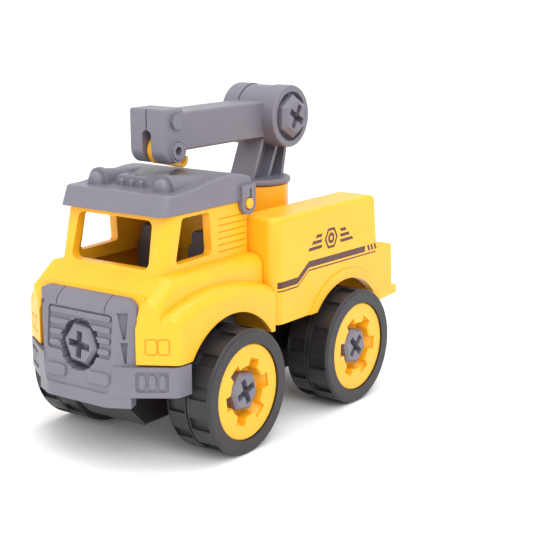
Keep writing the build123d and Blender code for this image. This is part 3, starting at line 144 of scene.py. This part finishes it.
def moulded_plastic(name, colour, roughness, grain, subsurface, edge_wear_and_sheen_lift, soft_edge=0.35):
    """Injection-moulded plastic: faint colour drift, satin grain, edges lightened partly by rubbed
    wear and partly by a painted highlight, and soft corners.
    """
    material, output = new_material(name)
    shader = add_node(material, "ShaderNodeBsdfPrincipled")
    shader.inputs["IOR"].default_value = PLASTIC_IOR
    if subsurface:
        shader.inputs["Subsurface Weight"].default_value = subsurface
        shader.inputs["Subsurface Radius"].default_value = SCATTER_RADIUS
        shader.inputs["Subsurface Scale"].default_value = SCATTER_SCALE * MM
    drift = remap(material, noise(material, DRIFT_SCALE, 3.0), *NOISE_MIDDLE, 0.0, 1.0)
    base = mix_colour(material, drift, *(scaled(colour, factor) for factor in DRIFT_RANGE))
    # Edges are lifted towards a lighter copy of the colour: partly rubbed wear, partly a painted
    # highlight on the rounded edges.
    edges = edge_mask(material, soft_edge * MM * EDGE_WIDEN)
    edge_patches = remap(material, noise(material, EDGE_PATCH_SCALE, 5.0), *EDGE_PATCH_RANGE, EDGE_PATCH_LEAST, 1.0)
    edge_wear_and_sheen = add_node(material, "ShaderNodeMath", operation="MULTIPLY")
    link(material, edges, edge_wear_and_sheen.inputs[0])
    link(material, edge_patches, edge_wear_and_sheen.inputs[1])
    link(material, mix_colour(material, edge_wear_and_sheen.outputs[0], base, scaled(colour, edge_wear_and_sheen_lift)),
         shader.inputs["Base Color"])
    rough = remap(material, noise(material, ROUGH_SCALE, 6.0), *NOISE_MIDDLE,
                  *(roughness + spread for spread in ROUGH_SPREAD))
    link(material, rough, shader.inputs["Roughness"])
    bevel = add_node(material, "ShaderNodeBevel", samples=BEVEL_SAMPLES)
    bevel.inputs["Radius"].default_value = soft_edge * MM
    swell = add_node(material, "ShaderNodeBump")
    swell.inputs["Strength"].default_value = SWELL_STRENGTH
    swell.inputs["Distance"].default_value = SWELL_HEIGHT * MM
    link(material, noise(material, SWELL_SCALE, 2.0), swell.inputs["Height"])
    link(material, bevel.outputs[0], swell.inputs["Normal"])
    fine = add_node(material, "ShaderNodeBump")
    fine.inputs["Strength"].default_value = grain
    fine.inputs["Distance"].default_value = GRAIN_HEIGHT * MM
    link(material, noise(material, GRAIN_SCALE, 3.0, 0.7), fine.inputs["Height"])
    link(material, swell.outputs[0], fine.inputs["Normal"])
    link(material, fine.outputs[0], shader.inputs["Normal"])
    link(material, shader.outputs[0], output.inputs["Surface"])
    return material


# The last number lifts the colour on edges: partly rubbed wear, partly a painted highlight.
MATERIALS = {
    "yellow_plastic": moulded_plastic("yellow_moulding", YELLOW, 0.34, 0.25, 0.10, 1.10),
    "grey_plastic": moulded_plastic("grey_moulding", GREY, 0.40, 0.45, 0.0, 1.45),
    "dark_plastic": moulded_plastic("seat_moulding", SEAT_GREY, 0.45, 0.45, 0.0, 1.3),
    "black_plastic": moulded_plastic("chassis_moulding", BLACK, 0.42, 0.5, 0.0, 1.8),
    "tyre": moulded_plastic("tyre_moulding", TYRE_BLACK, 0.46, 0.7, 0.0, 2.2),
}
NODE_SLOT = {part["node"]: part["material_slot"] for part in frame["record"]["subparts"]}
for node_name, node in NODES.items():
    node.data.materials.clear()
    node.data.materials.append(MATERIALS[NODE_SLOT[node_name]])

# ---- Printed side decals: stripes and a plain badge ---------------------------------------------
PRINT_LIFT = 0.03             # ink stands this far off the plastic, mm
SIDE_Y = 36.0
CORNER_START_X = 3.7          # the front corner of the side box rounds off from here
CORNER_R = 5.0
STRIPE_FRONT_X = 6.6
STRIPE_STEP_X = (-5.4, -12.7)
STRIPE_LOW_Z = 53.2
STRIPE_HIGH_Z = 58.0
STRIPE_DROP = 0.8             # the rear end stands a little lower
STRIPE_REAR_X = -61.0
THIN_LINE = 0.55
WIDE_LINE = 2.5
WIDE_RISE = 2.3
WIDE_REAR_X = -52.8
BADGE_X = -28.0
BADGE_Z = 68.2
BADGE_R = 4.6
BADGE_RIM = 1.2               # width of the badge's hexagon
BADGE_RING = (2.2, 0.9)       # outer and inner radius of the ring in it
TICKS = 3                     # short slanted ticks behind the wide stripe
TICK_START = 1.3
TICK_PITCH = 2.5
TICK_WIDTH = 1.5
TICK_SLANT = 1.2
WING_LENGTHS = (9.0, 6.5, 4.0)  # bars beside the badge, from the lowest up
WING_GAP = 2.2
WING_DROP = 2.9
WING_PITCH = 2.2
WING_HEIGHT = 1.3
WING_LEAN = 0.8
CORNER_STEPS = 4


def side_y(x):
    """Outer face of the service box at x, following its rounded front corner."""
    beyond = max(0.0, x - CORNER_START_X)
    return SIDE_Y - CORNER_R + math.sqrt(max(0.0, CORNER_R**2 - beyond**2)) + PRINT_LIFT


def stripe_z(x):
    """Height of the stripe's centre line at x: low in front, a slanted step, then high."""
    front, rear = STRIPE_STEP_X
    if x >= front:
        return STRIPE_LOW_Z
    if x >= rear:
        return STRIPE_LOW_Z + (STRIPE_HIGH_Z - STRIPE_LOW_Z) * (front - x) / (front - rear)
    return STRIPE_HIGH_Z - STRIPE_DROP * (rear - x) / (rear - STRIPE_REAR_X)


def stripe(faces, front_x, rear_x, rise, width, slant=0.0):
    """Adds quads of a stripe between two x values; its ends may slant."""
    stops = [front_x, rear_x] + [x for x in STRIPE_STEP_X if rear_x < x < front_x]
    if front_x > CORNER_START_X:
        reach = front_x - CORNER_START_X
        stops += [CORNER_START_X + reach * part / CORNER_STEPS for part in range(CORNER_STEPS)]
    stops = sorted(stops, reverse=True)
    for x_a, x_b in zip(stops, stops[1:]):
        z_a, z_b = stripe_z(x_a) + rise, stripe_z(x_b) + rise
        half = width / 2
        low = [(x_a - slant, z_a - half), (x_b - slant, z_b - half)]
        faces.append([*low, (x_b, z_b + half), (x_a, z_a + half)])


def ring(faces, outer, inner, sides):
    """Adds quads of a flat ring round the badge's centre."""
    for place in range(sides):
        start, end = (math.tau * (place + step) / sides for step in (0, 1))
        corners = ((outer, start), (outer, end), (inner, end), (inner, start))
        faces.append([
            (BADGE_X + radius * math.cos(angle), BADGE_Z + radius * math.sin(angle))
            for radius, angle in corners
        ])


def wing_bar(faces, side, length, z):
    """Adds one leaning bar beside the badge."""
    near = BADGE_X + side * (BADGE_R + WING_GAP)
    far = near + side * length
    lean = side * WING_LEAN
    top = z + WING_HEIGHT
    faces.append([(near, z), (far, z), (far - lean, top), (near - lean, top)])


def print_faces():
    """The whole print of one side, as quads of (x, z)."""
    faces = []
    stripe(faces, STRIPE_FRONT_X, STRIPE_REAR_X, 0.0, THIN_LINE)
    stripe(faces, STRIPE_FRONT_X, WIDE_REAR_X, WIDE_RISE, WIDE_LINE)
    for place in range(TICKS):
        start = WIDE_REAR_X - TICK_START - TICK_PITCH * place
        stripe(faces, start, start - TICK_WIDTH, WIDE_RISE, WIDE_LINE, slant=TICK_SLANT)
    ring(faces, BADGE_R, BADGE_R - BADGE_RIM, 6)
    ring(faces, *BADGE_RING, 24)
    for side in (1, -1):
        for place, length in enumerate(WING_LENGTHS):
            wing_bar(faces, side, length, BADGE_Z - WING_DROP + WING_PITCH * place)
    return faces


def add_print(name, side):
    """Thin ink layer on one side of the service body."""
    vertices, polygons = [], []
    for face in print_faces():
        start = len(vertices)
        vertices += [(x * MM, side * side_y(x) * MM, z * MM) for x, z in face]
        polygons.append(tuple(range(start, start + 4)))
    mesh = bpy.data.meshes.new(name)
    mesh.from_pydata(vertices, [], polygons)
    mesh.validate()
    decal = bpy.data.objects.new(name, mesh)
    decal.data.materials.append(PRINT_INK)
    bpy.context.collection.objects.link(decal)
    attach(decal, "truck")


# The ink's edges are lifted a little too: partly wear, partly a painted highlight.
PRINT_INK = moulded_plastic("print_ink", PRINT_BROWN, 0.30, 0.15, 0.0, 1.2, 0.02)
add_print("side_print_left", 1)
add_print("side_print_right", -1)

# ---- Floor, light and camera --------------------------------------------------------------------
FLOOR_SIZE = 6.0
FLOOR_SPECULAR = 0.1
FLOOR_ROUGHNESS = 0.85
FLOOR_DRIFT_SCALE = 6
FLOOR_DARKEST = 0.985

LIGHT_AIM = (0.0, 0.0, 0.06)
LIGHTS = (                    # name, place, size in metres, watts
    ("key", (0.55, 0.75, 0.85), 0.7, 5.6),
    ("front_fill", (0.95, -0.35, 0.35), 0.9, 2.0),
    ("top", (-0.1, 0.05, 1.1), 1.0, 5.4),
)
WORLD_STRENGTH = 1.05

CAMERA_PLACE = Vector((0.3928, 0.3149, 0.1693))
CAMERA_TARGET = Vector((0.0049, 0.0328, 0.0591))
CAMERA_ROLL = math.radians(-0.19)
LENS_MM = 86.53
SENSOR_MM = 36.0
CLIP = (0.01, 20.0)


def make_floor():
    """A large plain pale floor."""
    material, output = new_material("floor_paper")
    shader = add_node(material, "ShaderNodeBsdfPrincipled")
    shader.inputs["Specular IOR Level"].default_value = FLOOR_SPECULAR
    drift = remap(material, noise(material, FLOOR_DRIFT_SCALE, 2.0), *NOISE_MIDDLE, 0.0, 1.0)
    base = mix_colour(material, drift, scaled(FLOOR_WHITE, FLOOR_DARKEST), FLOOR_WHITE)
    link(material, base, shader.inputs["Base Color"])
    shader.inputs["Roughness"].default_value = FLOOR_ROUGHNESS
    link(material, shader.outputs[0], output.inputs["Surface"])
    mesh = bpy.data.meshes.new("floor")
    half = FLOOR_SIZE / 2
    corners = [(-half, -half, 0), (half, -half, 0), (half, half, 0), (-half, half, 0)]
    mesh.from_pydata(corners, [], [(0, 1, 2, 3)])
    floor = bpy.data.objects.new("floor", mesh)
    floor.data.materials.append(material)
    bpy.context.collection.objects.link(floor)


def area_light(name, place, size, power):
    """A soft square light that points at the truck."""
    data = bpy.data.lights.new(name, "AREA")
    data.shape = "SQUARE"
    data.size = size
    data.energy = power
    light = bpy.data.objects.new(name, data)
    light.location = place
    light.rotation_euler = (Vector(LIGHT_AIM) - Vector(place)).to_track_quat("-Z", "Y").to_euler()
    bpy.context.collection.objects.link(light)


def make_light():
    """Three soft lights in an evenly white world."""
    for light in LIGHTS:
        area_light(*light)
    world = bpy.data.worlds.new("studio")
    world.use_nodes = True
    background = world.node_tree.nodes["Background"]
    background.inputs["Color"].default_value = (1.0, 1.0, 1.0, 1.0)
    background.inputs["Strength"].default_value = WORLD_STRENGTH
    bpy.context.scene.world = world


def make_camera():
    """The camera of the main view."""
    data = bpy.data.cameras.new("camera")
    data.lens = LENS_MM
    data.sensor_width = SENSOR_MM
    data.clip_start, data.clip_end = CLIP
    camera = bpy.data.objects.new("camera", data)
    aim = (CAMERA_TARGET - CAMERA_PLACE).to_track_quat("-Z", "Y").to_matrix().to_4x4()
    camera.matrix_world = Matrix.Translation(CAMERA_PLACE) @ aim @ Matrix.Rotation(CAMERA_ROLL, 4, "Z")
    bpy.context.collection.objects.link(camera)
    bpy.context.scene.camera = camera


make_floor()
make_light()
make_camera()
bpy.context.scene.view_settings.view_transform = "Standard"
